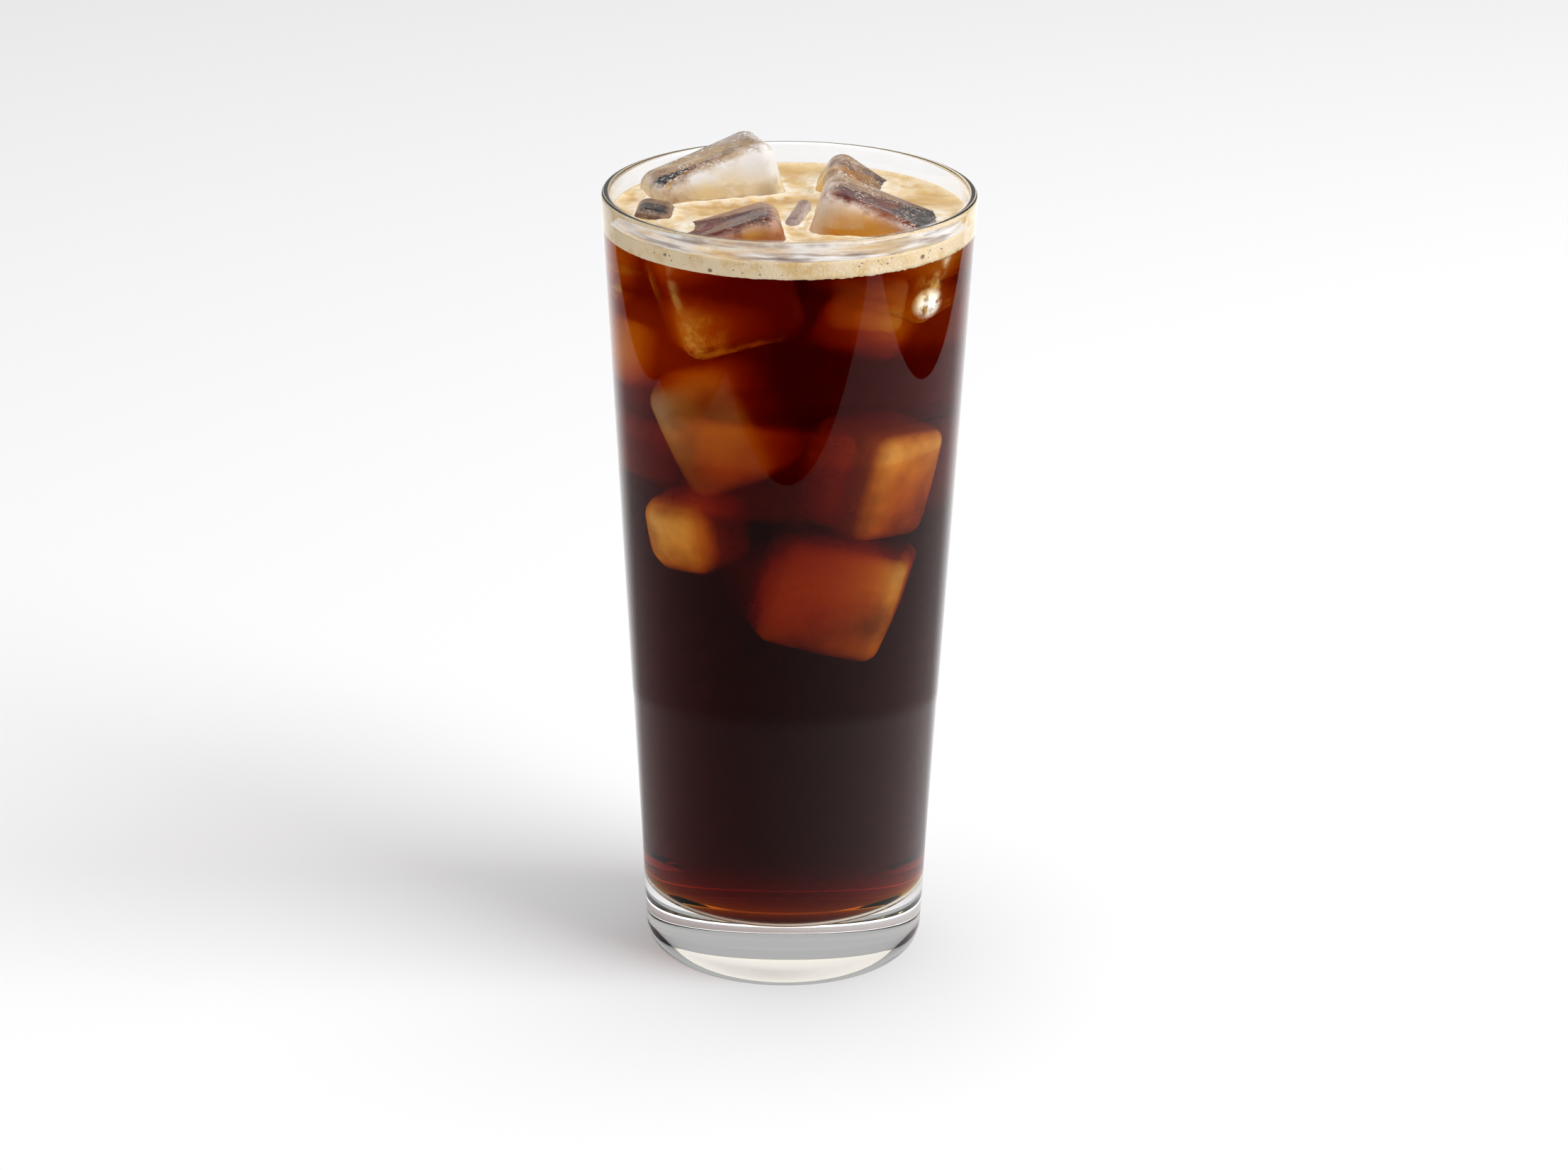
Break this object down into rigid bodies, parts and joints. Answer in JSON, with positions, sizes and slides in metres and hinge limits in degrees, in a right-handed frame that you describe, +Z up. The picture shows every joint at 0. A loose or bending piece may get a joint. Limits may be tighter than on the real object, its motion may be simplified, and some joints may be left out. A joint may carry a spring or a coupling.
{
  "type": "iced coffee in a tall clear glass",
  "caption": "Tall clear tumbler with a thick base, filled almost to the rim with black iced coffee, a thin tan foam and ice cubes standing out of it",
  "frame": {"origin": "centre of the tumbler's round underside, on the table it stands on", "axes": "+Z up along the tumbler's axis, -Y towards the viewer of the picture, +X to the viewer's right"},
  "size_m": [0.0742, 0.0742, 0.1662],
  "materials": {
    "clear_glass": "clear pressed soda-lime glass, fire-polished",
    "coffee": "black coffee, red-brown where thin and nearly black where deep",
    "foam": "thin pale tan coffee foam with fine bubbles",
    "ice": "clear wet ice with frosted streaks, tinted amber by the coffee"
  },
  "bodies": {
    "root": {"glass": "clear_glass", "coffee": "coffee", "foam": "foam", "ice_tall": "ice", "ice_right": "ice", "ice_back": "ice", "ice_front": "ice", "ice_left": "ice", "ice_chip": "ice"}
  },
  "joints": []
}
